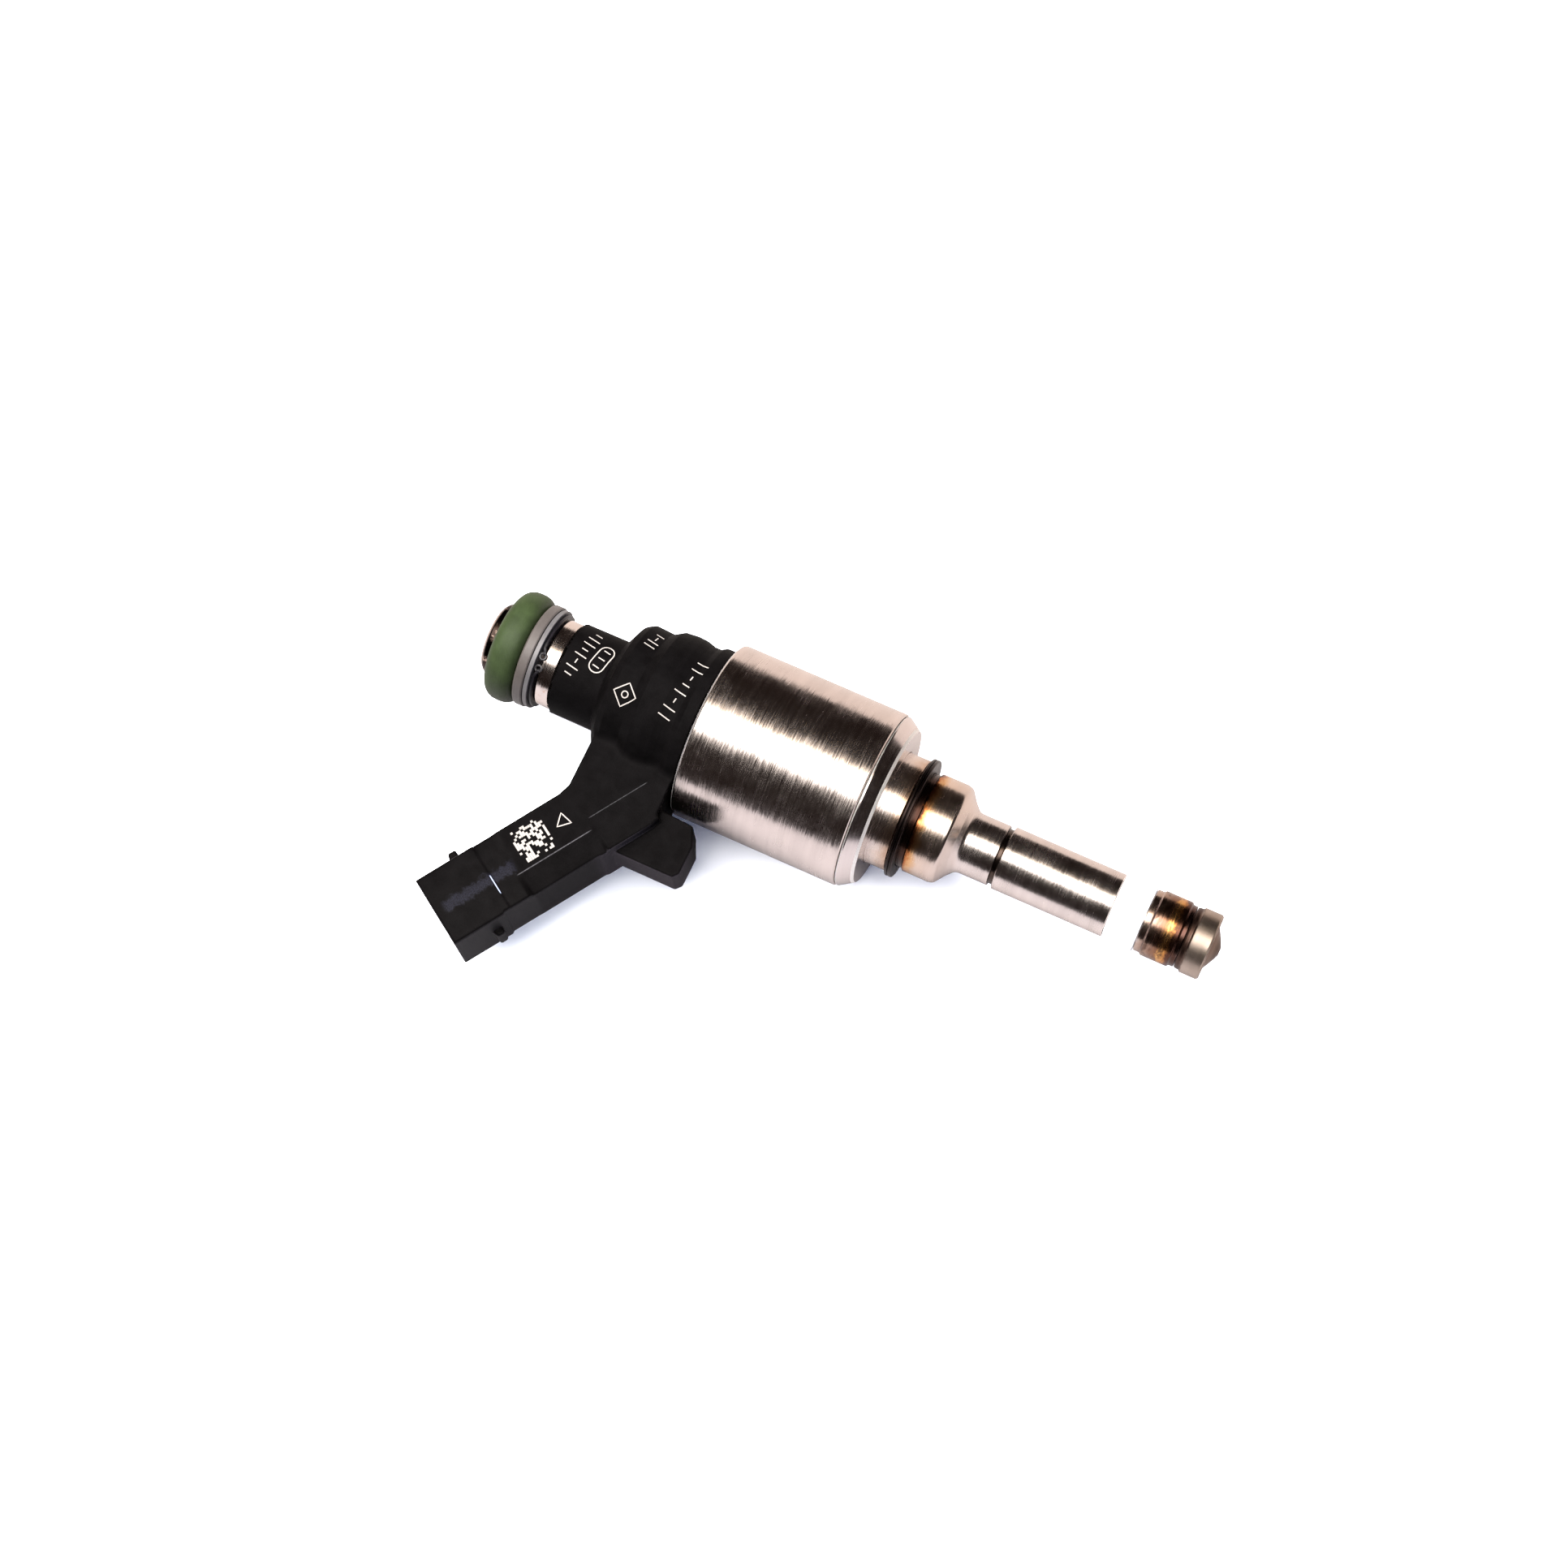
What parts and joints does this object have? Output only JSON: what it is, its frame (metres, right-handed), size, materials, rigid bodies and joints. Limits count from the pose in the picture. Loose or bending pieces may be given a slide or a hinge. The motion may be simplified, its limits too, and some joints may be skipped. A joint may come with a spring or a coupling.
{
  "type": "fuel injector",
  "caption": "Solenoid direct fuel injector: turned steel coil shell, slim nozzle stem with a white tip seal, green inlet seal, and a black overmould with an angled plug arm and a locating tab.",
  "frame": {"origin": "centre of the spray tip, on the injector axis", "axes": "+X along the injector axis, out of the spray tip; the connector arm leaves towards -Y; z = 0 is the plane of symmetry, so the injector lies on its side"},
  "size_m": [0.0889, 0.0454, 0.0208],
  "materials": {
    "polished_steel": "polished, fine turning lines",
    "turned_steel": "fine turned, satin to polished",
    "nozzle_steel": "fine turned, straw and brown heat tint near the welds",
    "needle_steel": "ground",
    "ball_steel": "lapped",
    "magnetic_steel": "turned, dull",
    "spring_steel": "drawn wire",
    "dark_ring_steel": "dark spring steel",
    "grey_washer_steel": "dull grey",
    "filter_brass": "fine mesh",
    "copper_wire": "enamelled copper wire",
    "tinned_blade": "tin plated",
    "green_rubber": "moulded, slight sheen",
    "pale_grey_plastic": "smooth",
    "black_clip_plastic": "smooth",
    "black_moulded_plastic": "glass-filled moulding, satin, slight texture",
    "bobbin_plastic": "smooth",
    "white_ptfe": "waxy"
  },
  "bodies": {
    "injector_body": {"inlet_tube": "polished_steel", "inlet_filter": "filter_brass", "inlet_o_ring": "green_rubber", "backup_ring": "pale_grey_plastic", "spacer_ring": "grey_washer_steel", "retaining_ring": "black_clip_plastic", "connector_body": "black_moulded_plastic", "terminal_left": "tinned_blade", "terminal_right": "tinned_blade", "coil_lead_left": "copper_wire", "coil_lead_right": "copper_wire", "solenoid_housing": "turned_steel", "front_ring": "turned_steel", "rear_washer": "magnetic_steel", "coil_bobbin": "bobbin_plastic", "coil_winding": "copper_wire", "valve_sleeve": "needle_steel", "pole_core": "magnetic_steel", "adjusting_sleeve": "needle_steel", "return_spring": "spring_steel", "valve_body": "nozzle_steel", "snap_ring": "dark_ring_steel", "combustion_seal": "white_ptfe", "seat_body": "nozzle_steel"},
    "needle": {"valve_needle": "needle_steel", "needle_ball": "ball_steel", "upper_collar": "needle_steel", "lower_stop": "needle_steel", "armature_spring": "spring_steel"},
    "armature": {"armature": "magnetic_steel"}
  },
  "joints": [
    {"name": "needle_lift", "type": "slide", "parent": "injector_body", "child": "needle", "axis": [-1, 0, 0], "range_m": [0, 0.00008], "stiffness_N_per_m": 300, "springref_m": -0.02},
    {"name": "armature_travel", "type": "slide", "parent": "needle", "child": "armature", "axis": [-1, 0, 0], "range_m": [0, 0.00004], "stiffness_N_per_m": 150, "springref_m": -0.01}
  ]
}
